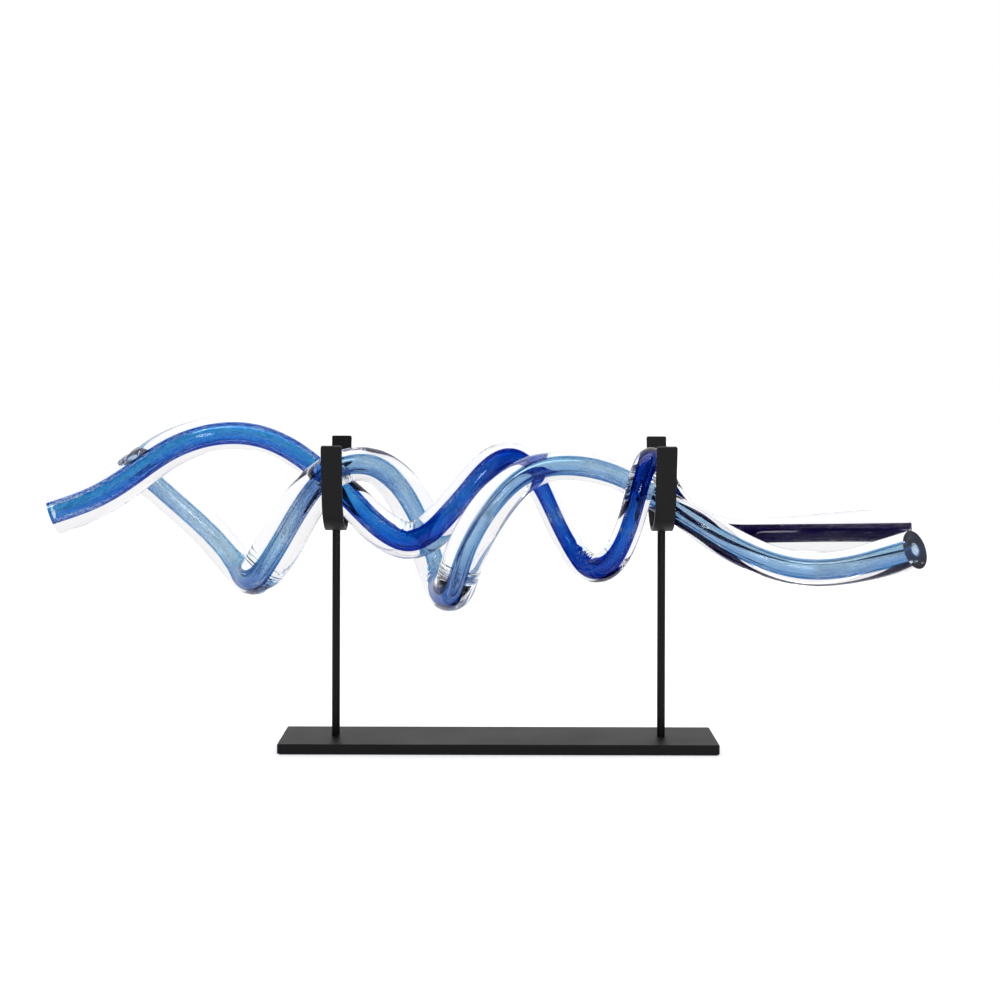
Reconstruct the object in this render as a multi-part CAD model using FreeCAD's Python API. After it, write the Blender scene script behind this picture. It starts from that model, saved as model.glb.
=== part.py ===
import FreeCAD, Part
import math
import os

# Two long rods of cased glass, bent hot into waves and twined through each other, lie in two
# steel cradles on a low steel stand. Lengths are in millimetres. The origin is on the surface
# that the stand rests on, under the middle of the base; +X runs along the wave, +Y away from
# the viewer and +Z up.

Vector = FreeCAD.Vector
Z_AXIS = Vector(0, 0, 1)

# Base plate and its felt
base_length = 432.0
base_depth = 76.0
base_thickness = 9.5
base_corner_radius = 1.5
base_edge_bevel = 0.6
felt_thickness = 1.0
felt_inset = 2.0

# Round posts
post_spacing = 325.0
post_diameter = 8.0
post_length = 205.3

# Cradles of bent flat bar, open at the top, with a taller wall at the back
strap_width = 20.0
strap_thickness = 4.0
strap_tip_radius = 1.5
wall_angle = 78.0
seat_width = 11.0
front_wall_height = 85.7
back_wall_height = 91.4

# Countersunk screws, up through the base and down through the cradle floors
screw_diameter = 4.0
screw_head_diameter = 8.0
post_screw_length = 20.0
cradle_screw_length = 12.0
thread_clearance = 0.1
hole_clearance = 0.25
cutting_overrun = 1.0

# Glass: the sizes that the tables of shares below are multiplied by
casing_diameter = 36.0
deep_core_diameter = 14.8
deep_core_wall = 1.3
pale_core_diameter = 13.2
pale_core_wall = 1.2
end_bore_depth = 30.0
wave_height = 80.0

# The cradle is as wide as the crossing that lies in it, and the wave stands on its floor
cradle_radius_share = 1.056
crossing_rise_share = 0.417

half_spacing = post_spacing / 2
base_top = felt_thickness + base_thickness
post_top = base_top + post_length
cradle_inner_radius = cradle_radius_share * casing_diameter
cradle_outer_radius = cradle_inner_radius + strap_thickness
cradle_centre = post_top + math.sqrt(cradle_outer_radius ** 2 - (seat_width / 2) ** 2)
cradle_floor = cradle_centre - cradle_inner_radius
crossing_level = cradle_floor + crossing_rise_share * casing_diameter
post_places = {"left": -half_spacing, "right": half_spacing}

# Each row is one place on a strand: along in half post spacings, depth in casing diameters,
# height above the crossings in wave heights, then how thick the casing and the core are there.
deep_strand_shares = [
    (-2.698, -0.56, 0.002, 1.29, 1.00),
    (-2.469, -0.53, 0.175, 1.21, 1.00),
    (-2.235, -0.58, 0.456, 1.11, 1.00),
    (-2.000, -0.56, 0.777, 1.04, 1.00),
    (-1.800, -0.39, 0.935, 0.97, 1.00),
    (-1.628, -0.11, 0.975, 0.93, 1.00),
    (-1.460, 0.17, 0.920, 0.88, 1.00),
    (-1.287, 0.36, 0.754, 0.84, 1.00),
    (-1.128, 0.48, 0.512, 0.83, 1.00),
    (-1.027, 0.42, 0.345, 0.83, 1.00),
    (-0.930, 0.24, 0.174, 0.91, 0.99),
    (-0.796, 0.03, -0.087, 1.01, 0.97),
    (-0.670, -0.14, -0.278, 1.04, 0.97),
    (-0.552, -0.28, -0.352, 1.03, 0.97),
    (-0.441, -0.36, -0.273, 1.03, 0.95),
    (-0.325, -0.39, -0.054, 1.03, 0.93),
    (-0.191, -0.33, 0.254, 1.02, 0.93),
    (-0.063, -0.19, 0.543, 1.00, 0.93),
    (0.047, 0.06, 0.655, 0.98, 0.92),
    (0.153, 0.36, 0.579, 0.92, 0.86),
    (0.248, 0.61, 0.338, 0.80, 0.76),
    (0.342, 0.72, -0.053, 0.74, 0.70),
    (0.442, 0.67, -0.450, 0.74, 0.73),
    (0.520, 0.42, -0.652, 0.78, 0.78),
    (0.601, 0.00, -0.703, 0.81, 0.84),
    (0.681, -0.42, -0.598, 0.79, 0.81),
    (0.749, -0.67, -0.356, 0.76, 0.76),
    (0.809, -0.72, -0.009, 0.74, 0.76),
    (0.859, -0.64, 0.357, 0.76, 0.78),
    (0.894, -0.42, 0.545, 0.78, 0.81),
    (0.936, -0.03, 0.635, 0.78, 0.81),
    (0.985, 0.39, 0.550, 0.74, 0.81),
    (1.040, 0.60, 0.338, 0.71, 0.81),
    (1.103, 0.60, 0.121, 0.73, 0.84),
    (1.184, 0.60, -0.056, 0.80, 0.86),
    (1.278, 0.61, -0.202, 0.86, 0.89),
    (1.403, 0.61, -0.284, 0.90, 0.89),
    (1.603, 0.61, -0.298, 0.92, 0.86),
    (1.874, 0.53, -0.284, 1.00, 0.84),
    (2.175, 0.33, -0.267, 1.22, 0.84),
    (2.532, 0.03, -0.250, 1.38, 0.89),
]
pale_strand_shares = [
    (-2.202, 0.53, 0.429, 0.98, 0.94),
    (-1.998, 0.69, 0.044, 0.98, 0.94),
    (-1.806, 0.75, -0.320, 0.98, 0.94),
    (-1.670, 0.64, -0.619, 0.97, 0.94),
    (-1.569, 0.28, -0.800, 0.98, 0.94),
    (-1.485, -0.17, -0.792, 1.07, 0.94),
    (-1.406, -0.50, -0.617, 1.22, 0.95),
    (-1.323, -0.64, -0.350, 1.28, 0.97),
    (-1.233, -0.61, -0.031, 1.24, 0.97),
    (-1.137, -0.56, 0.263, 1.12, 0.97),
    (-1.040, -0.59, 0.468, 0.98, 0.97),
    (-0.944, -0.55, 0.572, 0.93, 0.97),
    (-0.863, -0.33, 0.598, 0.94, 0.97),
    (-0.777, 0.00, 0.565, 0.98, 0.97),
    (-0.691, 0.39, 0.447, 1.06, 0.97),
    (-0.597, 0.72, 0.215, 1.16, 0.97),
    (-0.499, 0.92, -0.162, 1.19, 0.94),
    (-0.411, 0.92, -0.595, 1.17, 0.88),
    (-0.365, 0.69, -0.869, 1.14, 0.88),
    (-0.317, 0.14, -0.992, 1.14, 0.88),
    (-0.270, -0.47, -0.909, 1.14, 0.88),
    (-0.218, -0.92, -0.581, 1.14, 0.88),
    (-0.128, -1.10, -0.169, 1.13, 0.85),
    (-0.008, -1.07, 0.184, 1.07, 0.85),
    (0.137, -0.83, 0.451, 0.93, 0.88),
    (0.302, -0.50, 0.572, 0.83, 0.94),
    (0.482, -0.17, 0.576, 0.82, 0.98),
    (0.658, 0.11, 0.500, 0.80, 0.98),
    (0.821, 0.20, 0.357, 0.76, 0.98),
    (0.929, 0.03, 0.217, 0.72, 0.97),
    (1.010, -0.14, 0.127, 0.74, 0.94),
    (1.097, -0.24, 0.015, 0.79, 0.94),
    (1.199, -0.39, -0.114, 0.87, 0.94),
    (1.312, -0.47, -0.260, 0.90, 0.94),
    (1.446, -0.47, -0.412, 0.92, 0.97),
    (1.631, -0.56, -0.573, 0.91, 1.00),
    (1.857, -0.67, -0.670, 0.92, 1.03),
    (2.087, -0.92, -0.630, 0.94, 1.03),
    (2.280, -1.33, -0.508, 1.01, 1.03),
    (2.438, -2.00, -0.360, 1.04, 1.00),
]

# A strand gets a round section wherever it has turned or travelled this far
section_turn = 15.0
section_pitch = 60.0
trace_steps = 900


def save(node, shape):
    """Write one node's solid or group of solids to its own file."""
    shape.exportStep("parts/" + node + ".step")


def make_base_plate():
    """Flat steel plate with rounded corners, eased edges and a countersunk hole under each post."""
    corner = Vector(-base_length / 2, -base_depth / 2, felt_thickness)
    plate = Part.makeBox(base_length, base_depth, base_thickness, corner)
    upright = [edge for edge in plate.Edges if abs(edge.tangentAt(0).z) == 1]
    plate = plate.makeFillet(base_corner_radius, upright)
    rims = [edge for edge in plate.Edges if edge.BoundBox.ZLength < base_edge_bevel]
    plate = plate.makeChamfer(base_edge_bevel, rims)
    for x in post_places.values():
        plate = plate.cut(screw_clearance(Vector(x, 0, felt_thickness), Z_AXIS, base_thickness))
    return plate


def make_base_felt():
    """Thin pad under the plate, a little smaller than it all round."""
    length = base_length - 2 * felt_inset
    depth = base_depth - 2 * felt_inset
    return Part.makeBox(length, depth, felt_thickness, Vector(-length / 2, -depth / 2, 0))


def screw_profile(length, growth):
    """Half outline of a countersunk screw along +Z from the middle of its flush head."""
    shank = screw_diameter / 2 + growth
    head = screw_head_diameter / 2 + growth
    points = [
        Vector(0, 0, 0),
        Vector(head, 0, 0),
        Vector(shank, 0, head - shank),
        Vector(shank, 0, length),
        Vector(0, 0, length),
        Vector(0, 0, 0),
    ]
    return Part.Face(Part.makePolygon(points)).revolve(Vector(0, 0, 0), Z_AXIS, 360)


def placed(shape, place, direction):
    """The shape moved from the origin and +Z to a place and direction."""
    moved = shape.copy()
    moved.Placement = FreeCAD.Placement(place, FreeCAD.Rotation(Z_AXIS, direction))
    return moved


def screw_clearance(place, direction, reach):
    """Countersunk hole for a screw, right through what it holds."""
    return placed(screw_profile(reach + cutting_overrun, hole_clearance), place, direction)


def tapped_hole(place, direction, depth):
    """Blind threaded hole, drawn at its thread's size."""
    radius = screw_diameter / 2 + thread_clearance
    return Part.makeCylinder(radius, depth + cutting_overrun, place, direction)


def make_post(x):
    """Round bar with a tapped hole in each end."""
    post = Part.makeCylinder(post_diameter / 2, post_length, Vector(x, 0, base_top))
    lower = tapped_hole(Vector(x, 0, base_top), Z_AXIS, post_screw_length - base_thickness)
    upper_depth = cradle_screw_length - (cradle_floor - post_top)
    upper = tapped_hole(Vector(x, 0, post_top), -Z_AXIS, upper_depth)
    return post.cut(lower).cut(upper)


def make_post_screws():
    """Screws that hold the posts, with their heads flush under the base."""
    screws = [placed(screw_profile(post_screw_length, 0), Vector(x, 0, felt_thickness), Z_AXIS)
              for x in post_places.values()]
    return Part.makeCompound(screws)


def make_cradle_screws():
    """Screws that hold the cradles, with their heads flush in the cradle floors."""
    screws = [placed(screw_profile(cradle_screw_length, 0), Vector(x, 0, cradle_floor), -Z_AXIS)
              for x in post_places.values()]
    return Part.makeCompound(screws)


def arc_point(radius, angle):
    """Point of the cradle's bend, with the angle measured from straight down towards +Y."""
    turn = math.radians(angle)
    return Vector(0, radius * math.sin(turn), cradle_centre - radius * math.cos(turn))


def wall_tip(start, height):
    """End of a wall that leaves the bend at a point and climbs to a height above the post."""
    turn = math.radians(wall_angle)
    climb = post_top + height - start.z
    return start + Vector(0, climb / math.tan(turn), climb)


def mirrored(point):
    """The same point on the other side of the cradle's middle plane."""
    return Vector(point.x, -point.y, point.z)


def cradle_outline():
    """Closed outline of the bent bar, seen from its side."""
    seat_angle = math.degrees(math.asin(seat_width / 2 / cradle_outer_radius))
    middle_angle = (seat_angle + wall_angle) / 2
    outer_seat = arc_point(cradle_outer_radius, seat_angle)
    outer_middle = arc_point(cradle_outer_radius, middle_angle)
    outer_end = arc_point(cradle_outer_radius, wall_angle)
    inner_end = arc_point(cradle_inner_radius, wall_angle)
    floor = arc_point(cradle_inner_radius, 0)
    across = inner_end - outer_end
    back_tip = wall_tip(outer_end, back_wall_height)
    front_tip = wall_tip(outer_end, front_wall_height)
    edges = [
        Part.LineSegment(mirrored(outer_seat), outer_seat),
        Part.Arc(outer_seat, outer_middle, outer_end),
        Part.LineSegment(outer_end, back_tip),
        Part.LineSegment(back_tip, back_tip + across),
        Part.LineSegment(back_tip + across, inner_end),
        Part.Arc(inner_end, floor, mirrored(inner_end)),
        Part.LineSegment(mirrored(inner_end), mirrored(front_tip + across)),
        Part.LineSegment(mirrored(front_tip + across), mirrored(front_tip)),
        Part.LineSegment(mirrored(front_tip), mirrored(outer_end)),
        Part.Arc(mirrored(outer_end), mirrored(outer_middle), mirrored(outer_seat)),
    ]
    return Part.Wire([edge.toShape() for edge in edges])


def make_cradle(x):
    """Bent bar cradle with rounded tips and a countersunk hole in its floor."""
    bar = Part.Face(cradle_outline()).extrude(Vector(strap_width, 0, 0))
    bar.translate(Vector(x - strap_width / 2, 0, 0))
    tips = [edge for edge in bar.Edges
            if edge.BoundBox.XLength < strap_tip_radius
            and edge.BoundBox.ZMin > cradle_centre
            and edge.Length < strap_thickness + strap_tip_radius]
    bar = bar.makeFillet(strap_tip_radius, tips)
    floor = Vector(x, 0, cradle_floor)
    return bar.cut(screw_clearance(floor, -Z_AXIS, cradle_screw_length))


def strand_curves(rows):
    """Route of a strand and, on the same parameters, how thick its casing and core are."""
    route_points = []
    for along_share, depth_share, height_share, casing_share, core_share in rows:
        route_points.append(Vector(along_share * half_spacing,
                                   depth_share * casing_diameter,
                                   crossing_level + height_share * wave_height))
    travel = [0.0]
    for start, end in zip(route_points, route_points[1:]):
        travel.append(travel[-1] + start.distanceToPoint(end))
    width_points = [Vector(row[3], row[4], distance) for row, distance in zip(rows, travel)]
    route = Part.BSplineCurve()
    route.interpolate(Points=route_points, Parameters=travel)
    widths = Part.BSplineCurve()
    widths.interpolate(Points=width_points, Parameters=travel)
    return route, widths, travel


def section_parameters(route, travel):
    """Where a strand's round sections stand, closer together in its tight bends."""
    places = [travel[0]]
    heading = Vector(*route.tangent(travel[0]))
    for step in range(1, trace_steps):
        place = travel[-1] * step / trace_steps
        ahead = Vector(*route.tangent(place))
        turned = math.degrees(heading.getAngle(ahead))
        if turned >= section_turn or place - places[-1] >= section_pitch:
            places.append(place)
            heading = ahead
    return places + [travel[-1]]


def strand_frames(route, places):
    """A rotation for each section that follows the route without twisting about it."""
    frames = []
    side = None
    for place in places:
        ahead = Vector(*route.tangent(place))
        if side is None:
            side = ahead.cross(Z_AXIS)
        side = side - ahead * side.dot(ahead)
        side.normalize()
        frames.append(FreeCAD.Rotation(side, ahead.cross(side), ahead, "ZXY"))
    return frames


def round_bar(route, places, frames, radii):
    """Solid of round sections along a route."""
    wires = []
    for place, frame, radius in zip(places, frames, radii):
        ring = Part.Circle(Vector(0, 0, 0), Z_AXIS, radius).toShape()
        ring.Placement = FreeCAD.Placement(route.value(place), frame)
        wires.append(Part.Wire(ring))
    return Part.makeLoft(wires, True, True)


def end_bores(route, travel, radii):
    """Bores that run into the core from its two cut ends."""
    bores = []
    for place, inward, radius in ((travel[0], 1, radii[0]), (travel[-1], -1, radii[-1])):
        direction = Vector(*route.tangent(place)) * inward
        mouth = route.value(place) - direction * cutting_overrun
        bores.append(Part.makeCylinder(radius, end_bore_depth + cutting_overrun, mouth, direction))
    return bores


def make_strand(rows, core_diameter, core_wall):
    """Clear casing and the coloured core inside it, for one strand."""
    route, widths, travel = strand_curves(rows)
    places = section_parameters(route, travel)
    frames = strand_frames(route, places)
    casing_radii = [widths.value(place).x * casing_diameter / 2 for place in places]
    core_radii = [widths.value(place).y * core_diameter / 2 for place in places]
    bore_radii = [radius - core_wall for radius in core_radii]
    casing = round_bar(route, places, frames, casing_radii)
    core = round_bar(route, places, frames, core_radii)
    casing = casing.cut(core)
    for bore in end_bores(route, travel, bore_radii):
        core = core.cut(bore)
    return casing, core


def main():
    """Build every node and write it out."""
    os.makedirs("parts", exist_ok=True)
    save("base_plate", make_base_plate())
    save("base_felt", make_base_felt())
    save("post_screws", make_post_screws())
    save("cradle_screws", make_cradle_screws())
    for side, x in post_places.items():
        save(side + "_post", make_post(x))
        save(side + "_cradle", make_cradle(x))
    strands = {
        "deep_blue": (deep_strand_shares, deep_core_diameter, deep_core_wall),
        "pale_blue": (pale_strand_shares, pale_core_diameter, pale_core_wall),
    }
    for name, (rows, core_diameter, core_wall) in strands.items():
        casing, core = make_strand(rows, core_diameter, core_wall)
        save(name + "_casing", casing)
        save(name + "_core", core)


main()
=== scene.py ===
import math

import bpy
import numpy as np
from mathutils import Matrix, Vector


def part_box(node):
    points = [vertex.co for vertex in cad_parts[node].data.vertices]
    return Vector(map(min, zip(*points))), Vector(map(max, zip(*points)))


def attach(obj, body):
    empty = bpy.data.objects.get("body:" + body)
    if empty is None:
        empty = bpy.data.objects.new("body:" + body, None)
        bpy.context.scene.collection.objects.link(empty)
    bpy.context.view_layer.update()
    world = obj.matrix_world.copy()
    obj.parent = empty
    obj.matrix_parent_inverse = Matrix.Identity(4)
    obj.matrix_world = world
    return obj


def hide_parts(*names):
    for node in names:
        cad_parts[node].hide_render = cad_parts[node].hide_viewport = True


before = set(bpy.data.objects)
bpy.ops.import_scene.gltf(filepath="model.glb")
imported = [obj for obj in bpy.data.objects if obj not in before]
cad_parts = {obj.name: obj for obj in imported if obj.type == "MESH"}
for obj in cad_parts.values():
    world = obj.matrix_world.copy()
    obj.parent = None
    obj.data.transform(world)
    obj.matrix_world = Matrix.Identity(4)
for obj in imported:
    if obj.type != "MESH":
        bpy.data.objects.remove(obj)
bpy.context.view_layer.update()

bl_info = {
    "name": "Twined glass wave",
    "version": (1, 0, 0),
    "blender": (4, 5, 0),
    "location": "3D View > Sidebar > Glass Wave",
    "description": "Dresses a sculpture of two twined cased-glass strands and sets its studio",
    "category": "Object",
}

# Places that follow from the frame, in metres
post_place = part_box("right_post")
half_spacing = (post_place[0][0] + post_place[1][0]) / 2
cradle_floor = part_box("cradle_screws")[1][2]

# Each row is one place on a strand: along in half post spacings, depth in casing diameters,
# height above the crossings in wave heights, then how thick the casing and the core are there.
deep_strand_shares = [
    (-2.698, -0.56, 0.002, 1.29, 1.00),
    (-2.469, -0.53, 0.175, 1.21, 1.00),
    (-2.235, -0.58, 0.456, 1.11, 1.00),
    (-2.000, -0.56, 0.777, 1.04, 1.00),
    (-1.800, -0.39, 0.935, 0.97, 1.00),
    (-1.628, -0.11, 0.975, 0.93, 1.00),
    (-1.460, 0.17, 0.920, 0.88, 1.00),
    (-1.287, 0.36, 0.754, 0.84, 1.00),
    (-1.128, 0.48, 0.512, 0.83, 1.00),
    (-1.027, 0.42, 0.345, 0.83, 1.00),
    (-0.930, 0.24, 0.174, 0.91, 0.99),
    (-0.796, 0.03, -0.087, 1.01, 0.97),
    (-0.670, -0.14, -0.278, 1.04, 0.97),
    (-0.552, -0.28, -0.352, 1.03, 0.97),
    (-0.441, -0.36, -0.273, 1.03, 0.95),
    (-0.325, -0.39, -0.054, 1.03, 0.93),
    (-0.191, -0.33, 0.254, 1.02, 0.93),
    (-0.063, -0.19, 0.543, 1.00, 0.93),
    (0.047, 0.06, 0.655, 0.98, 0.92),
    (0.153, 0.36, 0.579, 0.92, 0.86),
    (0.248, 0.61, 0.338, 0.80, 0.76),
    (0.342, 0.72, -0.053, 0.74, 0.70),
    (0.442, 0.67, -0.450, 0.74, 0.73),
    (0.520, 0.42, -0.652, 0.78, 0.78),
    (0.601, 0.00, -0.703, 0.81, 0.84),
    (0.681, -0.42, -0.598, 0.79, 0.81),
    (0.749, -0.67, -0.356, 0.76, 0.76),
    (0.809, -0.72, -0.009, 0.74, 0.76),
    (0.859, -0.64, 0.357, 0.76, 0.78),
    (0.894, -0.42, 0.545, 0.78, 0.81),
    (0.936, -0.03, 0.635, 0.78, 0.81),
    (0.985, 0.39, 0.550, 0.74, 0.81),
    (1.040, 0.60, 0.338, 0.71, 0.81),
    (1.103, 0.60, 0.121, 0.73, 0.84),
    (1.184, 0.60, -0.056, 0.80, 0.86),
    (1.278, 0.61, -0.202, 0.86, 0.89),
    (1.403, 0.61, -0.284, 0.90, 0.89),
    (1.603, 0.61, -0.298, 0.92, 0.86),
    (1.874, 0.53, -0.284, 1.00, 0.84),
    (2.175, 0.33, -0.267, 1.22, 0.84),
    (2.532, 0.03, -0.250, 1.38, 0.89),
]
pale_strand_shares = [
    (-2.202, 0.53, 0.429, 0.98, 0.94),
    (-1.998, 0.69, 0.044, 0.98, 0.94),
    (-1.806, 0.75, -0.320, 0.98, 0.94),
    (-1.670, 0.64, -0.619, 0.97, 0.94),
    (-1.569, 0.28, -0.800, 0.98, 0.94),
    (-1.485, -0.17, -0.792, 1.07, 0.94),
    (-1.406, -0.50, -0.617, 1.22, 0.95),
    (-1.323, -0.64, -0.350, 1.28, 0.97),
    (-1.233, -0.61, -0.031, 1.24, 0.97),
    (-1.137, -0.56, 0.263, 1.12, 0.97),
    (-1.040, -0.59, 0.468, 0.98, 0.97),
    (-0.944, -0.55, 0.572, 0.93, 0.97),
    (-0.863, -0.33, 0.598, 0.94, 0.97),
    (-0.777, 0.00, 0.565, 0.98, 0.97),
    (-0.691, 0.39, 0.447, 1.06, 0.97),
    (-0.597, 0.72, 0.215, 1.16, 0.97),
    (-0.499, 0.92, -0.162, 1.19, 0.94),
    (-0.411, 0.92, -0.595, 1.17, 0.88),
    (-0.365, 0.69, -0.869, 1.14, 0.88),
    (-0.317, 0.14, -0.992, 1.14, 0.88),
    (-0.270, -0.47, -0.909, 1.14, 0.88),
    (-0.218, -0.92, -0.581, 1.14, 0.88),
    (-0.128, -1.10, -0.169, 1.13, 0.85),
    (-0.008, -1.07, 0.184, 1.07, 0.85),
    (0.137, -0.83, 0.451, 0.93, 0.88),
    (0.302, -0.50, 0.572, 0.83, 0.94),
    (0.482, -0.17, 0.576, 0.82, 0.98),
    (0.658, 0.11, 0.500, 0.80, 0.98),
    (0.821, 0.20, 0.357, 0.76, 0.98),
    (0.929, 0.03, 0.217, 0.72, 0.97),
    (1.010, -0.14, 0.127, 0.74, 0.94),
    (1.097, -0.24, 0.015, 0.79, 0.94),
    (1.199, -0.39, -0.114, 0.87, 0.94),
    (1.312, -0.47, -0.260, 0.90, 0.94),
    (1.446, -0.47, -0.412, 0.92, 0.97),
    (1.631, -0.56, -0.573, 0.91, 1.00),
    (1.857, -0.67, -0.670, 0.92, 1.03),
    (2.087, -0.92, -0.630, 0.94, 1.03),
    (2.280, -1.33, -0.508, 1.01, 1.03),
    (2.438, -2.00, -0.360, 1.04, 1.00),
]

# Columns of the tables above that hold how thick the casing and the core are
casing_column = 3
core_column = 4

# What each point of a tube carries for the glass to read
flow_name = "glass_flow"
along_name = "glass_along"
bore_name = "glass_bore"
up_name = "glass_up"
bend_name = "glass_bend"

# The tube rule: the share of a strand, each way, that its turning is measured over, how far the
# drawn threads' pattern runs in a metre, the gap under which points are one, and the least crease
tube_rule_name = "glass tube along a route"
bend_reach_share = 0.01
flow_per_metre = 100.0
seam_gap = 1e-6
crease_angle = math.radians(40)

glass_index = 1.47

# Studio in metres, watts and radians: each soft box has a name, place, width, height and power
soft_boxes = (
    ("top box", (0, 0.1, 1.9), 1.8, 0.9, 16.0),
    ("window box", (0.25, -1.6, 0.72), 0.36, 0.32, 7.5),
    ("front box", (-0.7, -1.7, 1.3), 0.9, 0.9, 1.0),
)
light_aim = (0, 0, 0.25)
floor_width = 14.0
camera_place = (0, -1.5, 0.371)
camera_roll = 0.0026
camera_lens_mm = 54.0
camera_sensor_mm = 36.0
camera_shift_shares = (0.0007, -0.125)

# A path through both cased strands needs more bounces than the default
glass_bounces = 32
mirror_bounces = 16


class GlassSizes(bpy.types.PropertyGroup):
    """Sizes of the two strands."""
    casing_diameter: bpy.props.FloatProperty(
        name="Casing diameter", description="Nominal thickness of a strand's clear casing",
        default=0.036, unit="LENGTH")
    wave_height: bpy.props.FloatProperty(
        name="Wave height", description="Height that the wave table is multiplied by",
        default=0.080, unit="LENGTH")
    crossing_rise_share: bpy.props.FloatProperty(
        name="Crossing rise",
        description="Crossing level above the cradle floor, in casing diameters", default=0.417)
    deep_core_diameter: bpy.props.FloatProperty(
        name="Deep core diameter", description="Nominal thickness of the deep blue core",
        default=0.0148, unit="LENGTH")
    deep_core_wall: bpy.props.FloatProperty(
        name="Deep core wall", description="Wall of the deep blue core",
        default=0.0013, unit="LENGTH")
    pale_core_diameter: bpy.props.FloatProperty(
        name="Pale core diameter", description="Nominal thickness of the pale blue core",
        default=0.0132, unit="LENGTH")
    pale_core_wall: bpy.props.FloatProperty(
        name="Pale core wall", description="Wall of the pale blue core",
        default=0.0012, unit="LENGTH")
    steps_along: bpy.props.IntProperty(
        name="Steps along", description="Rings along a strand", default=460, min=40)
    steps_around: bpy.props.IntProperty(
        name="Steps around", description="Points round a ring", default=56, min=12)


class GlassColours(bpy.types.PropertyGroup):
    """Colours of the glass, as they look against white, and of the stand."""
    # Azure and its lit top copy are painted shade and painted light: the under side colour is
    # painted darker and the upper side colour lighter, as light from above would make them
    azure: bpy.props.FloatVectorProperty(
        name="Azure", description="Under side of the deep strand at its left end",
        subtype="COLOR", size=3, default=(0.008, 0.120, 0.580))
    azure_lit_top: bpy.props.FloatVectorProperty(
        name="Light azure", description="Upper side of the deep strand at its left end",
        subtype="COLOR", size=3, default=(0.500, 0.950, 0.900))
    # Cobalt and its lit top copy are the painted shade and painted light of the deep strand's
    # middle
    cobalt: bpy.props.FloatVectorProperty(
        name="Cobalt", description="Under side of the deep strand in its middle",
        subtype="COLOR", size=3, default=(0.004, 0.025, 0.330))
    cobalt_lit_top: bpy.props.FloatVectorProperty(
        name="Light cobalt", description="Upper side of the deep strand in its middle",
        subtype="COLOR", size=3, default=(0.050, 0.240, 0.760))
    midnight: bpy.props.FloatVectorProperty(
        name="Midnight blue", description="Deep strand where it darkens",
        subtype="COLOR", size=3, default=(0.008, 0.010, 0.150))
    navy: bpy.props.FloatVectorProperty(
        name="Navy", description="Deep strand at its right end",
        subtype="COLOR", size=3, default=(0.010, 0.002, 0.070))
    deep_body: bpy.props.FloatVectorProperty(
        name="Deep body", description="What the depth of the deep core's glass lets through",
        subtype="COLOR", size=3, default=(0.270, 0.740, 0.930))
    # Pale blue is also the painted light of the pale strand's upper side
    pale: bpy.props.FloatVectorProperty(
        name="Pale blue", description="Pale strand",
        subtype="COLOR", size=3, default=(0.960, 0.985, 1.000))
    # The pale streak colour is both the darker streaks in the glass and the painted shade of the
    # pale strand's under side
    pale_streak_and_shade: bpy.props.FloatVectorProperty(
        name="Pale streak", description="Darker streaks in the pale strand",
        subtype="COLOR", size=3, default=(0.110, 0.230, 0.520))
    swirl: bpy.props.FloatVectorProperty(
        name="Swirl", description="Deep blue drawn into the pale strand at its tight bends",
        subtype="COLOR", size=3, default=(0.006, 0.030, 0.240))
    pale_body: bpy.props.FloatVectorProperty(
        name="Pale body", description="What the depth of the pale core's glass lets through",
        subtype="COLOR", size=3, default=(0.440, 0.720, 0.860))
    casing: bpy.props.FloatVectorProperty(
        name="Casing", description="Clear glass of both casings",
        subtype="COLOR", size=3, default=(0.925, 0.920, 0.935))
    fold: bpy.props.FloatVectorProperty(
        name="Fold", description="Casing glass that is folded inside a tight bend",
        subtype="COLOR", size=3, default=(0.620, 0.800, 0.760))
    steel: bpy.props.FloatVectorProperty(
        name="Powder coat", description="Black powder coat on the stand",
        subtype="COLOR", size=3, default=(0.0042, 0.0042, 0.0044))


class Amount:
    """A number in a material that plain sums add Math nodes to."""

    def __init__(self, finish, socket):
        self.finish = finish
        self.socket = socket

    def joined(self, operation, first, second):
        """The result of one Math node on two numbers."""
        return self.finish.amount("ShaderNodeMath", {"operation": operation}, {0: first, 1: second})

    def __add__(self, other):
        return self.joined("ADD", self, other)

    def __radd__(self, other):
        return self.joined("ADD", other, self)

    def __rsub__(self, other):
        return self.joined("SUBTRACT", other, self)

    def __mul__(self, other):
        return self.joined("MULTIPLY", self, other)

    def __rmul__(self, other):
        return self.joined("MULTIPLY", other, self)

    def between(self, low, high):
        """Nought below low, one above high and a straight ramp from one to the other."""
        return self.finish.amount("ShaderNodeMapRange", {"clamp": True},
                                  {"Value": self, "From Min": low, "From Max": high})


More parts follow.
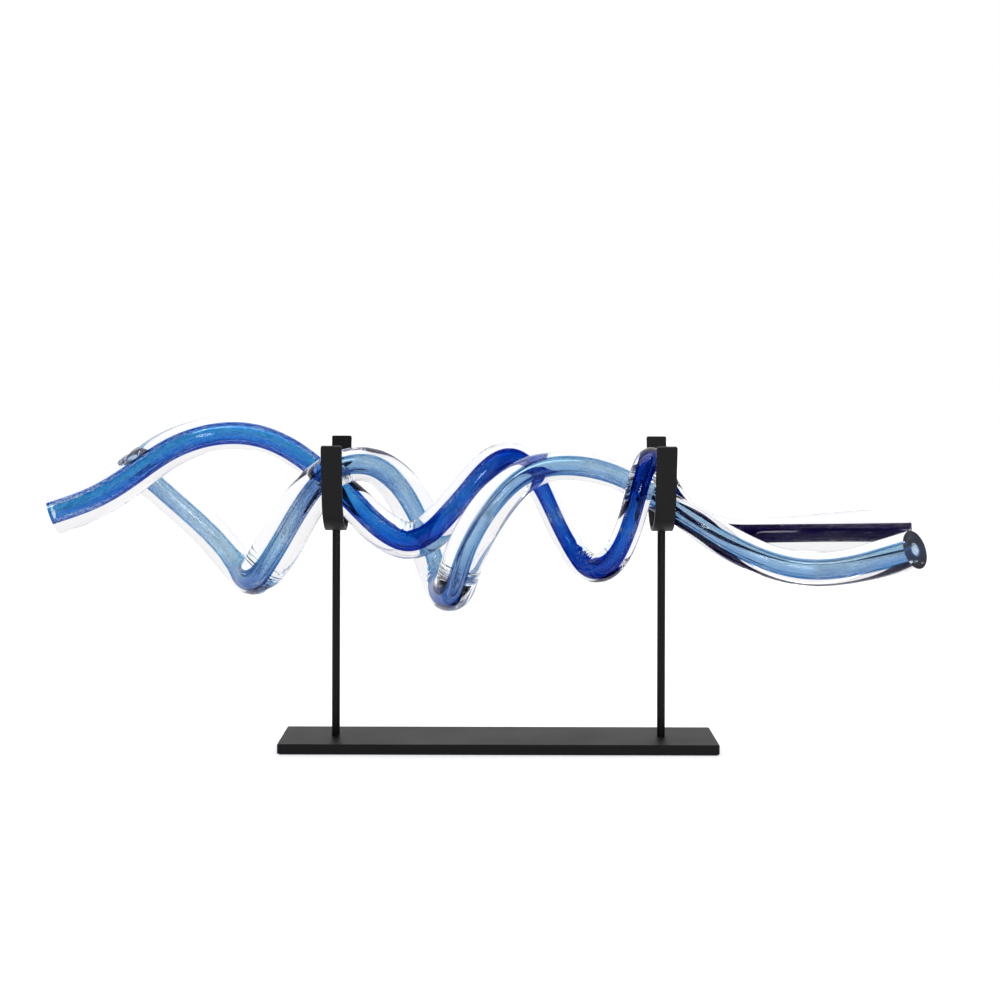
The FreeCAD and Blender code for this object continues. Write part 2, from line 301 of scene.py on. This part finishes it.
class Finish:
    """A procedural material or world and the one way that its nodes are made."""

    def __init__(self, owner, output="ShaderNodeOutputMaterial"):
        self.owner = owner
        owner.use_nodes = True
        self.tree = owner.node_tree
        self.tree.nodes.clear()
        self.output = self.tree.nodes.new(output)

    def node(self, kind, settings=None, values=None):
        """Add a node, set its settings first, then link or set its sockets."""
        made = self.tree.nodes.new(kind)
        for name, value in (settings or {}).items():
            if name == "stops":
                self.set_stops(made.color_ramp, value)
            else:
                setattr(made, name, value)
        for name, value in (values or {}).items():
            if isinstance(value, Amount):
                value = value.socket
            if isinstance(value, bpy.types.NodeSocket):
                self.tree.links.new(value, made.inputs[name])
            else:
                made.inputs[name].default_value = value
        return made

    def amount(self, kind, settings=None, values=None, result=0):
        """Add a node and wrap one of its results for plain sums."""
        return Amount(self, self.node(kind, settings, values).outputs[result])

    def set_stops(self, ramp, stops):
        """Give a colour ramp its stops, each a place and a colour."""
        while len(ramp.elements) > 1:
            ramp.elements.remove(ramp.elements[-1])
        ramp.elements[0].position = stops[0][0]
        ramp.elements[0].color = stops[0][1]
        for place, colour in stops[1:]:
            ramp.elements.new(place).color = colour

    def ramp(self, stops, share):
        """The colour that a ramp with these stops has at a share."""
        return self.node("ShaderNodeValToRGB", {"stops": stops}, {"Fac": share}).outputs["Color"]

    def mixed(self, share, first, second):
        """Blend two colours."""
        made = self.node("ShaderNodeMix", {"data_type": "RGBA"}, {0: share, 6: first, 7: second})
        return made.outputs[2]

    def object_place(self):
        """Where a point lies, in its own piece's coordinates."""
        return self.node("ShaderNodeTexCoord").outputs["Object"]

    def noise(self, scale, detail=2.0):
        """Noise through the whole piece, from nought to one."""
        return self.amount("ShaderNodeTexNoise", None, {
            "Vector": self.object_place(), "Scale": scale, "Detail": detail})

    def carried(self, name):
        """A number that each point of a tube carries."""
        return self.amount("ShaderNodeAttribute", {"attribute_name": name}, None, "Fac")

    def relief(self, height, distance, strength=1.0):
        """The normal of a surface with this height, in distances, on it."""
        return self.node("ShaderNodeBump", None, {
            "Strength": strength, "Distance": distance, "Height": height}).outputs["Normal"]

    def principled(self, values):
        """A Principled shader with these sockets set."""
        return self.node("ShaderNodeBsdfPrincipled", None, values).outputs["BSDF"]

    def blended(self, share, first, second):
        """Blend two shaders."""
        made = self.node("ShaderNodeMixShader", None, {0: share, 1: first, 2: second})
        return made.outputs["Shader"]

    def surface(self, socket):
        """Use a shader as the material's surface."""
        self.tree.links.new(socket, self.output.inputs["Surface"])

    def volume(self, socket):
        """Use a shader as the material's volume."""
        self.tree.links.new(socket, self.output.inputs["Volume"])


def new_finish(name):
    """A new procedural material."""
    return Finish(bpy.data.materials.new(name))


def opaque(colour):
    """A colour with full alpha."""
    return (*colour, 1.0)


def grey(value):
    """An opaque grey."""
    return (value, value, value, 1.0)


def tint(colour):
    """The colour of one surface of two that together let this colour through."""
    return opaque(math.sqrt(channel) for channel in colour)


def streaks(finish, stretch, scale, detail, low, high):
    """Noise that runs with a strand, drawn out along it by a small stretch, from nought to one."""
    flow = finish.node("ShaderNodeAttribute", {"attribute_name": flow_name}).outputs["Vector"]
    drawn = finish.node("ShaderNodeMapping", None, {"Vector": flow, "Scale": (1.0, 1.0, stretch)})
    noise = finish.amount("ShaderNodeTexNoise", None, {
        "Vector": drawn.outputs["Vector"], "Scale": scale, "Detail": detail, "Roughness": 0.55})
    return noise.between(low, high)


def make_bonded_face():
    """The face where casing and core are fused, which doesn't show."""
    most_shown = 0.02
    finish = new_finish("bonded face")
    shown = finish.noise(scale=40.0).between(0.98, 1.0) * most_shown
    clear = finish.node("ShaderNodeBsdfTransparent").outputs["BSDF"]
    solid = finish.node("ShaderNodeBsdfDiffuse", None, {"Color": (0.8, 0.85, 0.9, 1.0)})
    finish.surface(finish.blended(shown, clear, solid.outputs["BSDF"]))
    return finish.owner


def make_clear_glass():
    """Polished clear casing glass with faint drawn threads, and folds inside its tight bends."""
    colours = bpy.context.scene.glass_colours
    thread_height = 0.03
    fold_height = 2.6
    finish = new_finish("clear glass")
    folded = finish.carried(bend_name).between(0.30, 0.62)
    threads = streaks(finish, stretch=0.04, scale=2.0, detail=1.5, low=0.30, high=0.70)
    folds = streaks(finish, stretch=1.6, scale=1.1, detail=1.5, low=0.33, high=0.67)
    height = threads * thread_height + folds * folded * fold_height
    finish.surface(finish.principled({
        "Base Color": finish.mixed(folded, opaque(colours.casing), opaque(colours.fold)),
        "Roughness": 0.0, "IOR": glass_index, "Specular Tint": (0.28, 0.28, 0.34, 1.0),
        "Transmission Weight": 1.0, "Normal": finish.relief(height, distance=0.0006)}))
    return finish.owner


def make_core_glass(name, shaded_under_stops, lit_upper_stops, cover_stops, body_colour, density, painted_shade_share):
    """Coloured core glass, from stops that are each a share of the strand and what is there.

    The under stops are the colours of the painted shade on the strand's under side and the upper
    stops those of the painted light on its upper side, the cover stops say how far the wall hides
    what is behind it, and the painted shade share is how far the colour is painted lighter where
    the wall faces up and darker where it faces down.
    """
    fine_share = 0.25
    finish = new_finish(name)
    along = finish.carried(along_name)
    # Painted light and shade: the colour leans to the upper stops where the wall faces up and to
    # the under stops where it faces down, as light from above would fall, with drawn streaks mixed
    # in
    facing_up = finish.carried(up_name).between(-0.55, 0.65)
    broad = streaks(finish, stretch=0.03, scale=1.3, detail=2.0, low=0.38, high=0.62)
    fine = streaks(finish, stretch=0.03, scale=3.5, detail=1.0, low=0.38, high=0.64)
    share = facing_up * painted_shade_share + broad * (1.0 - fine_share - painted_shade_share) + fine * fine_share
    colour = finish.mixed(share, finish.ramp(shaded_under_stops, along), finish.ramp(lit_upper_stops, along))
    twice = finish.node("ShaderNodeMix", {"data_type": "RGBA", "blend_type": "MULTIPLY"}, {
        0: 1.0, 6: colour, 7: colour}).outputs[2]
    see_through = finish.principled({
        "Base Color": colour, "Roughness": 0.0, "IOR": 1.0, "Transmission Weight": 1.0})
    hiding = finish.principled({
        "Base Color": twice, "Roughness": 0.3, "Specular IOR Level": 0.0, "Coat Weight": 0.12,
        "Coat Roughness": 0.03})
    wall = finish.blended(finish.ramp(cover_stops, along), see_through, hiding)
    bore_wall = finish.principled({
        "Base Color": grey(1.0), "Roughness": 0.0, "IOR": glass_index, "Transmission Weight": 1.0})
    in_bore = finish.carried(bore_name).between(0.4, 0.6)
    finish.surface(finish.blended(in_bore, wall, bore_wall))
    body = finish.node("ShaderNodeVolumeAbsorption", None, {
        "Color": opaque(body_colour), "Density": density})
    finish.volume(body.outputs["Volume"])
    return finish.owner


def make_powder_coat():
    """Satin black powder coat with its fine orange-peel grain."""
    steel = tuple(bpy.context.scene.glass_colours.steel)
    crest_gain = 1.7
    crest = tuple(channel * crest_gain for channel in steel)
    finish = new_finish("black powder coat")
    grain = finish.noise(scale=1400.0, detail=3.0)
    cloud = finish.noise(scale=18.0)
    finish.surface(finish.principled({
        "Base Color": finish.mixed(grain.between(0.45, 0.75), opaque(steel), opaque(crest)),
        "Roughness": 0.42 + cloud * 0.12, "Specular IOR Level": 0.20,
        "Normal": finish.relief(grain, distance=0.0002, strength=0.35)}))
    return finish.owner


def make_plain_steel():
    """Turned steel of the screws."""
    finish = new_finish("turned steel")
    turning = finish.amount("ShaderNodeTexWave", {"wave_type": "RINGS", "rings_direction": "Z"}, {
        "Vector": finish.object_place(), "Scale": 900.0, "Distortion": 1.0}, "Fac")
    finish.surface(finish.principled({
        "Base Color": (0.42, 0.42, 0.43, 1.0), "Metallic": 1.0, "Roughness": 0.28 + turning * 0.1}))
    return finish.owner


def make_felt():
    """Black wool felt."""
    finish = new_finish("black felt")
    fibre = finish.noise(scale=2600.0, detail=5.0)
    finish.surface(finish.principled({
        "Base Color": finish.mixed(fibre, grey(0.006), (0.03, 0.03, 0.031, 1.0)),
        "Roughness": 0.95, "Sheen Weight": 0.3,
        "Normal": finish.relief(fibre, distance=0.0003, strength=0.6)}))
    return finish.owner


def smooth_through(points, steps):
    """Natural cubic spline through rows of numbers, spaced by the distance between their places."""
    gaps = np.linalg.norm(np.diff(points[:, :3], axis=0), axis=1)
    travel = np.concatenate([[0.0], np.cumsum(gaps)])
    count = len(points)
    system = np.eye(count)
    changes = np.zeros_like(points)
    rise = np.diff(points, axis=0) / gaps[:, None]
    for row in range(1, count - 1):
        system[row, row - 1] = gaps[row - 1]
        system[row, row] = 2 * (gaps[row - 1] + gaps[row])
        system[row, row + 1] = gaps[row]
        changes[row] = 6 * (rise[row] - rise[row - 1])
    curl = np.linalg.solve(system, changes)
    places = np.linspace(0.0, travel[-1], steps)
    span = np.clip(np.searchsorted(travel, places, side="right") - 1, 0, count - 2)
    gap = gaps[span][:, None]
    ahead = (places - travel[span])[:, None]
    behind = gap - ahead
    return ((curl[span] * behind ** 3 + curl[span + 1] * ahead ** 3) / (6 * gap)
            + (points[span] / gap - curl[span] * gap / 6) * behind
            + (points[span + 1] / gap - curl[span + 1] * gap / 6) * ahead)


def strand_path(rows):
    """Places along a strand with its casing and core shares, from a table of shares."""
    sizes = bpy.context.scene.glass_sizes
    level = cradle_floor + sizes.crossing_rise_share * sizes.casing_diameter
    table = np.array(rows, dtype=float)
    table[:, 0] *= half_spacing
    table[:, 1] *= sizes.casing_diameter
    table[:, 2] = level + table[:, 2] * sizes.wave_height
    return smooth_through(table, sizes.steps_along)


def radii(path, column, diameter, wall=0.0):
    """A tube's radius along its path, less a wall."""
    return path[:, column] * diameter / 2 - wall


def route_object(name, path, outer_radii, inner_radii):
    """Curve whose points carry the outer wall's radius as theirs and the inner wall's as tilt."""
    curve = bpy.data.curves.new(name, "CURVE")
    curve.dimensions = "3D"
    spline = curve.splines.new("POLY")
    spline.points.add(len(path) - 1)
    spline.points.foreach_set("co", np.column_stack([path[:, :3], np.ones(len(path))]).ravel())
    spline.points.foreach_set("radius", outer_radii)
    spline.points.foreach_set("tilt", inner_radii)
    made = bpy.data.objects.new(name, curve)
    bpy.context.scene.collection.objects.link(made)
    return made


class Tree:
    """A geometry node tree and the one way that its nodes are made."""

    def __init__(self, name):
        self.group = bpy.data.node_groups.new(name, "GeometryNodeTree")
        self.add_socket("Geometry", "NodeSocketGeometry")
        self.add_socket("Geometry", "NodeSocketGeometry", "OUTPUT")

    def add_socket(self, name, kind, side="INPUT"):
        """Add an input or an output of the tree."""
        self.group.interface.new_socket(name, in_out=side, socket_type=kind)

    def node(self, kind, settings=None, values=None):
        """Add a node, set its settings first, then link or set its sockets."""
        made = self.group.nodes.new(kind)
        for name, value in (settings or {}).items():
            setattr(made, name, value)
        for name, value in (values or {}).items():
            if isinstance(value, bpy.types.NodeSocket):
                self.group.links.new(value, made.inputs[name])
            else:
                made.inputs[name].default_value = value
        return made

    def math(self, operation, first, second=0.0):
        """The result of one Math node."""
        made = self.node("ShaderNodeMath", {"operation": operation}, {0: first, 1: second})
        return made.outputs[0]

    def vector(self, operation, values, result="Vector"):
        """A result of one Vector Math node."""
        return self.node("ShaderNodeVectorMath", {"operation": operation}, values).outputs[result]

    def switch(self, test, when_false, when_true):
        """One of two numbers."""
        return self.node("GeometryNodeSwitch", {"input_type": "FLOAT"},
                         {0: test, 1: when_false, 2: when_true}).outputs[0]

    def stored(self, geometry, name, value, kind="FLOAT"):
        """The geometry with a value kept on its points under a name."""
        settings = {"data_type": kind, "domain": "POINT"}
        return self.node("GeometryNodeStoreNamedAttribute", settings, {
            "Geometry": geometry, "Name": name, "Value": value}).outputs[0]

    def carried(self, name):
        """The number that points carry under a name."""
        return self.node("GeometryNodeInputNamedAttribute", {"data_type": "FLOAT"},
                         {"Name": name}).outputs[0]

    def sampled(self, route, factor, values=None):
        """The Sample Curve node at a share of a route."""
        return self.node("GeometryNodeSampleCurve", {
            "data_type": "FLOAT", "mode": "FACTOR", "use_all_curves": True}, {
            "Curves": route, "Factor": factor, **(values or {})})


def glass_tube_tree():
    """Rule for a glass tube: a grid wrapped out along a route, over its end and back inside."""
    tree = Tree(tube_rule_name)
    tree.add_socket("Steps along", "NodeSocketInt")
    tree.add_socket("Steps around", "NodeSocketInt")
    tree.add_socket("Wall material", "NodeSocketMaterial")
    tree.add_socket("Lining material", "NodeSocketMaterial")
    start = tree.node("NodeGroupInput")
    steps = start.outputs["Steps along"]
    around = start.outputs["Steps around"]

    # One row of the grid for each ring outside, then inside, and one more that closes on the first
    rows = tree.math("ADD", tree.math("MULTIPLY", steps, 2.0), 1.0)
    columns = tree.math("ADD", around, 1.0)
    grid = tree.node("GeometryNodeMeshGrid", None, {"Vertices X": rows, "Vertices Y": columns})
    index = tree.node("GeometryNodeInputIndex").outputs[0]
    row = tree.math("FLOOR", tree.math("DIVIDE", tree.math("ADD", index, 0.5), columns))
    column = tree.math("SUBTRACT", index, tree.math("MULTIPLY", row, columns))
    last = tree.math("SUBTRACT", steps, 1.0)
    returning = tree.math("GREATER_THAN", row, tree.math("ADD", last, 0.5))
    closing = tree.math("GREATER_THAN", row, tree.math("SUBTRACT", rows, 1.5))
    inside = tree.math("SUBTRACT", returning, closing)
    back = tree.math("SUBTRACT", tree.math("SUBTRACT", rows, 2.0), row)
    place = tree.switch(returning, row, tree.switch(closing, back, 0.0))
    factor = tree.math("DIVIDE", place, last)

    # The tilt only carries the inner radius, so it is laid flat once that is stored
    route = tree.stored(start.outputs["Geometry"], "outer radius",
                        tree.node("GeometryNodeInputRadius").outputs[0])
    route = tree.stored(route, "inner radius", tree.node("GeometryNodeInputCurveTilt").outputs[0])
    route = tree.node("GeometryNodeSetCurveTilt", None, {"Curve": route, "Tilt": 0.0}).outputs[0]
    outer = tree.sampled(route, factor, {"Value": tree.carried("outer radius")})
    inner = tree.sampled(route, factor, {"Value": tree.carried("inner radius")})
    radius = tree.switch(inside, outer.outputs["Value"], inner.outputs["Value"])

    turn = tree.math("MULTIPLY", tree.math("DIVIDE", column, around), math.tau)
    cosine = tree.math("COSINE", turn)
    sine = tree.math("SINE", turn)
    normal = outer.outputs["Normal"]
    side = tree.vector("CROSS_PRODUCT", {0: normal, 1: outer.outputs["Tangent"]})
    outward = tree.vector("ADD", {
        0: tree.vector("SCALE", {0: normal, "Scale": cosine}),
        1: tree.vector("SCALE", {0: side, "Scale": sine})})
    reach = tree.vector("SCALE", {0: outward, "Scale": radius})
    position = tree.vector("ADD", {0: outer.outputs["Position"], 1: reach})
    mesh = tree.node("GeometryNodeSetPosition", None, {
        "Geometry": grid.outputs["Mesh"], "Position": position}).outputs[0]

    # How far a point faces up, and how far it faces into the bend that the strand makes there
    up = tree.vector("DOT_PRODUCT", {0: outward, 1: (0.0, 0.0, 1.0)}, "Value")
    ahead = tree.sampled(route, tree.math("ADD", factor, bend_reach_share)).outputs["Tangent"]
    behind = tree.sampled(route, tree.math("ADD", factor, -bend_reach_share)).outputs["Tangent"]
    turned = tree.vector("SUBTRACT", {0: ahead, 1: behind})
    bend = tree.vector("DOT_PRODUCT", {0: outward, 1: turned}, "Value")
    for name, value in (
            (along_name, factor), (bore_name, inside), (up_name, up), (bend_name, bend)):
        mesh = tree.stored(mesh, name, value)
    length = tree.node("GeometryNodeCurveLength", None, {"Curve": route}).outputs[0]
    run = tree.math("MULTIPLY", factor, tree.math("MULTIPLY", length, flow_per_metre))
    flow = tree.node("ShaderNodeCombineXYZ", None, {"X": cosine, "Y": sine, "Z": run})
    mesh = tree.stored(mesh, flow_name, flow.outputs[0], "FLOAT_VECTOR")

    mesh = tree.node("GeometryNodeMergeByDistance", None, {
        "Geometry": mesh, "Distance": seam_gap}).outputs[0]
    mesh = tree.node("GeometryNodeSetShadeSmooth", None, {"Geometry": mesh}).outputs[0]
    mesh = tree.node("GeometryNodeRealizeInstances", None, {"Geometry": mesh}).outputs[0]
    mesh = tree.node("GeometryNodeSetMaterial", None, {
        "Geometry": mesh, "Material": start.outputs["Wall material"]}).outputs[0]
    lining = tree.math("GREATER_THAN", tree.carried(bore_name), 0.75)
    mesh = tree.node("GeometryNodeSetMaterial", None, {
        "Geometry": mesh, "Selection": lining,
        "Material": start.outputs["Lining material"]}).outputs[0]
    end = tree.node("NodeGroupOutput")
    tree.group.links.new(mesh, end.inputs[0])


def glass_tube(name, path, outer_radii, inner_radii, wall, lining):
    """One tube of a strand as a plain closed mesh, with its place in its mesh."""
    rule = bpy.data.node_groups.get(tube_rule_name)
    if rule is None:
        raise RuntimeError("the glass tube rule is missing")
    sizes = bpy.context.scene.glass_sizes
    values = {
        "Steps along": sizes.steps_along, "Steps around": sizes.steps_around,
        "Wall material": wall, "Lining material": lining,
    }
    route = route_object(name + "_route", path, outer_radii, inner_radii)
    modifier = route.modifiers.new("tube", "NODES")
    modifier.node_group = rule
    for item in rule.interface.items_tree:
        if item.name in values:
            modifier[item.identifier] = values[item.name]
    bpy.context.view_layer.update()
    seen = route.evaluated_get(bpy.context.evaluated_depsgraph_get())
    mesh = bpy.data.meshes.new_from_object(seen)
    bpy.data.objects.remove(route)
    mesh.set_sharp_from_angle(angle=crease_angle)
    piece = bpy.data.objects.new(name, mesh)
    bpy.context.scene.collection.objects.link(piece)
    return piece


def core_tube(name, rows, diameter, wall, glass):
    """One strand's core, of the same glass inside and out."""
    path = strand_path(rows)
    return glass_tube(name, path, radii(path, core_column, diameter),
                      radii(path, core_column, diameter, wall), glass, glass)


class GLASS_OT_tube_rule(bpy.types.Operator):
    """Build the rule that wraps a glass tube round a route"""
    bl_idname = "glass_wave.tube_rule"
    bl_label = "Tube rule"

    def execute(self, context):
        glass_tube_tree()
        return {"FINISHED"}


class GLASS_OT_casings(bpy.types.Operator):
    """Draw the clear casings of the two strands"""
    bl_idname = "glass_wave.casings"
    bl_label = "Clear casings"

    def execute(self, context):
        sizes = context.scene.glass_sizes
        clear = make_clear_glass()
        bond = make_bonded_face()
        strands = (
            ("deep_blue_casing", deep_strand_shares, sizes.deep_core_diameter),
            ("pale_blue_casing", pale_strand_shares, sizes.pale_core_diameter),
        )
        for node, rows, core_diameter in strands:
            path = strand_path(rows)
            casing = radii(path, casing_column, sizes.casing_diameter)
            core = radii(path, core_column, core_diameter)
            piece = glass_tube(node + "_glass", path, casing, core, clear, bond)
            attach(piece, "glass")
            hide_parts(node)
        return {"FINISHED"}


class GLASS_OT_deep_core(bpy.types.Operator):
    """Draw the deep blue core, azure at one end and nearly black at the other"""
    bl_idname = "glass_wave.deep_core"
    bl_label = "Deep blue core"

    def execute(self, context):
        sizes = context.scene.glass_sizes
        colours = context.scene.glass_colours
        azure = tint(colours.azure)
        azure_lit_top = tint(colours.azure_lit_top)
        cobalt = tint(colours.cobalt)
        cobalt_lit_top = tint(colours.cobalt_lit_top)
        midnight = tint(colours.midnight)
        navy = tint(colours.navy)
        # The under stops paint the shaded under side of the deep strand and the upper stops paint
        # its lit upper side, both changing along it
        shaded_under_stops = [
            (0.0, azure), (0.29, azure), (0.36, cobalt), (0.42, cobalt), (0.47, midnight),
            (0.53, cobalt), (0.60, midnight), (0.66, cobalt), (0.71, midnight), (0.77, midnight),
            (0.80, navy)]
        lit_upper_stops = [
            (0.0, azure_lit_top), (0.29, azure_lit_top), (0.36, cobalt_lit_top), (0.42, cobalt_lit_top),
            (0.47, cobalt), (0.53, cobalt_lit_top), (0.60, cobalt), (0.66, cobalt_lit_top),
            (0.71, cobalt), (0.77, midnight), (0.80, navy)]
        cover_stops = [(0.0, grey(0.02)), (0.5, grey(0.03)), (0.77, grey(0.10)), (0.80, grey(0.95))]
        glass = make_core_glass("deep blue glass", shaded_under_stops, lit_upper_stops, cover_stops,
                                colours.deep_body, density=1600.0, painted_shade_share=0.68)
        piece = core_tube("deep_blue_core_glass", deep_strand_shares, sizes.deep_core_diameter,
                          sizes.deep_core_wall, glass)
        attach(piece, "glass")
        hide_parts("deep_blue_core")
        return {"FINISHED"}


class GLASS_OT_pale_core(bpy.types.Operator):
    """Draw the pale steel-blue core with its darker threads and swirls, its under side painted
    darker as shade
    """
    bl_idname = "glass_wave.pale_core"
    bl_label = "Pale blue core"

    def execute(self, context):
        sizes = context.scene.glass_sizes
        colours = context.scene.glass_colours
        pale = tint(colours.pale)
        streak_and_shade = tint(colours.pale_streak_and_shade)
        swirl = tint(colours.swirl)
        # The under stops paint the shaded under side of the pale strand, mostly with its streak
        # colour, and the upper stops paint its lit upper side
        shaded_under_stops = [
            (0.0, streak_and_shade), (0.10, pale), (0.145, swirl), (0.19, streak_and_shade), (0.25, swirl),
            (0.30, streak_and_shade), (0.43, streak_and_shade), (0.46, swirl), (0.50, swirl), (0.54, streak_and_shade),
            (1.0, streak_and_shade)]
        lit_upper_stops = [
            (0.0, pale), (0.12, pale), (0.155, streak_and_shade), (0.20, pale), (0.25, streak_and_shade),
            (0.30, pale), (0.43, pale), (0.455, streak_and_shade), (0.475, swirl), (0.50, streak_and_shade),
            (0.54, pale), (1.0, pale)]
        cover_stops = [(0.0, grey(0.02)), (1.0, grey(0.03))]
        glass = make_core_glass("pale blue glass", shaded_under_stops, lit_upper_stops, cover_stops,
                                colours.pale_body, density=600.0, painted_shade_share=0.60)
        piece = core_tube("pale_blue_core_glass", pale_strand_shares, sizes.pale_core_diameter,
                          sizes.pale_core_wall, glass)
        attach(piece, "glass")
        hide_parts("pale_blue_core")
        return {"FINISHED"}


class GLASS_OT_stand(bpy.types.Operator):
    """Give the stand's own pieces their powder coat, steel and felt"""
    bl_idname = "glass_wave.stand"
    bl_label = "Stand finishes"

    def execute(self, context):
        coat = make_powder_coat()
        felt = make_felt()
        steel = make_plain_steel()
        finishes = {
            "base_plate": coat, "left_post": coat, "right_post": coat,
            "left_cradle": coat, "right_cradle": coat, "base_felt": felt,
            "post_screws": steel, "cradle_screws": steel,
        }
        for node, material in finishes.items():
            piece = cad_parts[node]
            piece.data.materials.clear()
            piece.data.materials.append(material)
        return {"FINISHED"}


def white_seen(finish):
    """One for rays that look straight, in a reflection or through glass, nought for light."""
    path = finish.node("ShaderNodeLightPath")
    camera = Amount(finish, path.outputs["Is Camera Ray"])
    mirror = Amount(finish, path.outputs["Is Glossy Ray"])
    through = Amount(finish, path.outputs["Is Transmission Ray"])
    return (camera + mirror + through).between(0.0, 1.0)


def make_floor_finish():
    """White floor with a glow that weakens near the sculpture, and in glass and reflections."""
    indirect_share = 0.75
    near_loss_share = 0.45
    near_scale = 0.45
    floor = new_finish("white floor")
    colour = floor.mixed(floor.noise(scale=30.0), grey(0.86), grey(0.88))
    matte = floor.principled({"Base Color": colour, "Roughness": 1.0, "Specular IOR Level": 0.0})
    spread = floor.node("ShaderNodeMapping", None, {
        "Vector": floor.object_place(), "Scale": (near_scale, near_scale, near_scale)})
    near = floor.amount("ShaderNodeTexGradient", {"gradient_type": "SPHERICAL"}, {
        "Vector": spread.outputs["Vector"]}, "Fac")
    direct = Amount(floor, floor.node("ShaderNodeLightPath").outputs["Is Camera Ray"])
    seen = white_seen(floor) * (indirect_share + (1.0 - indirect_share) * direct)
    none = floor.node("ShaderNodeEmission", None, {"Color": grey(0.0), "Strength": 0.0})
    full = floor.node("ShaderNodeEmission", None, {"Color": grey(1.0), "Strength": 1.0})
    glow = floor.blended(seen * (1.0 - near_loss_share * near), none.outputs[0], full.outputs[0])
    both = floor.node("ShaderNodeAddShader", None, {0: matte, 1: glow})
    floor.surface(both.outputs[0])
    return floor.owner


def make_floor():
    """The white floor that the stand rests on, far wider than the picture."""
    half = floor_width / 2
    corners = [(-half, -half, 0), (half, -half, 0), (half, half, 0), (-half, half, 0)]
    mesh = bpy.data.meshes.new("floor")
    mesh.from_pydata(corners, [], [(0, 1, 2, 3)])
    mesh.materials.append(make_floor_finish())
    made = bpy.data.objects.new("floor", mesh)
    bpy.context.scene.collection.objects.link(made)


def make_room():
    """Surroundings that are white behind the sculpture and dark blue before it."""
    light_strength = 0.62
    front = (0.012, 0.014, 0.06, 1.0)
    side = (0.20, 0.28, 0.50, 1.0)
    scene = bpy.context.scene
    scene.world = bpy.data.worlds.new("white studio")
    room = Finish(scene.world, "ShaderNodeOutputWorld")
    heading = room.node("ShaderNodeSeparateXYZ", None, {
        "Vector": room.node("ShaderNodeTexCoord").outputs["Generated"]})
    back = Amount(room, heading.outputs["Y"]).between(-0.25, 0.35)
    direct = room.node("ShaderNodeLightPath").outputs["Is Camera Ray"]
    white = room.amount("ShaderNodeMath", {"operation": "MAXIMUM"}, {0: back, 1: direct})
    colour = room.ramp([(0.0, front), (0.35, side), (1.0, grey(1.0))], white)
    sky = room.node("ShaderNodeBackground", None, {
        "Color": colour, "Strength": light_strength + (1.0 - light_strength) * white_seen(room)})
    room.surface(sky.outputs["Background"])


def make_soft_box(name, place, width, height, power):
    """A soft box that points at the sculpture."""
    light = bpy.data.lights.new(name, "AREA")
    light.shape = "RECTANGLE"
    light.size = width
    light.size_y = height
    light.energy = power
    made = bpy.data.objects.new(name, light)
    made.location = place
    made.rotation_euler = (Vector(light_aim) - Vector(place)).to_track_quat("-Z", "Y").to_euler()
    bpy.context.scene.collection.objects.link(made)


def make_camera():
    """The camera, which looks level from in front of the stand."""
    camera = bpy.data.cameras.new("camera")
    camera.lens = camera_lens_mm
    camera.sensor_width = camera_sensor_mm
    camera.shift_x, camera.shift_y = camera_shift_shares
    viewer = bpy.data.objects.new("camera", camera)
    level = Matrix.Rotation(math.radians(90), 4, "X")
    roll = Matrix.Rotation(camera_roll, 4, "Z")
    viewer.matrix_world = Matrix.Translation(camera_place) @ (level @ roll)
    bpy.context.scene.collection.objects.link(viewer)
    bpy.context.scene.camera = viewer


class GLASS_OT_stage(bpy.types.Operator):
    """Set the white floor, the soft light, the surroundings and the camera"""
    bl_idname = "glass_wave.stage"
    bl_label = "Studio"

    def execute(self, context):
        make_floor()
        make_room()
        for box in soft_boxes:
            make_soft_box(*box)
        make_camera()
        scene = context.scene
        scene.view_settings.view_transform = "Standard"
        scene.cycles.max_bounces = glass_bounces
        scene.cycles.transmission_bounces = glass_bounces
        scene.cycles.glossy_bounces = mirror_bounces
        scene.cycles.transparent_max_bounces = glass_bounces
        return {"FINISHED"}


class GLASS_PT_panel(bpy.types.Panel):
    """Sizes, colours and steps of the glass wave"""
    bl_idname = "GLASS_PT_panel"
    bl_label = "Glass Wave"
    bl_space_type = "VIEW_3D"
    bl_region_type = "UI"
    bl_category = "Glass Wave"

    def draw(self, context):
        for group in (context.scene.glass_sizes, context.scene.glass_colours):
            for name in group.__annotations__:
                self.layout.prop(group, name)
        for step in STEPS:
            self.layout.operator(step.bl_idname)


STEPS = (GLASS_OT_tube_rule, GLASS_OT_casings, GLASS_OT_deep_core, GLASS_OT_pale_core,
         GLASS_OT_stand, GLASS_OT_stage)
CLASSES = (GlassSizes, GlassColours) + STEPS + (GLASS_PT_panel,)


def register():
    """Add the classes and the scene's settings."""
    for each in CLASSES:
        bpy.utils.register_class(each)
    bpy.types.Scene.glass_sizes = bpy.props.PointerProperty(type=GlassSizes)
    bpy.types.Scene.glass_colours = bpy.props.PointerProperty(type=GlassColours)


def unregister():
    """Take the settings and the classes away."""
    del bpy.types.Scene.glass_colours
    del bpy.types.Scene.glass_sizes
    for each in reversed(CLASSES):
        bpy.utils.unregister_class(each)


def main():
    """Dress the sculpture and set its studio."""
    register()
    for step in STEPS:
        name = step.bl_idname.split(".")[1]
        getattr(bpy.ops.glass_wave, name)()


if __name__ == "__main__":
    main()
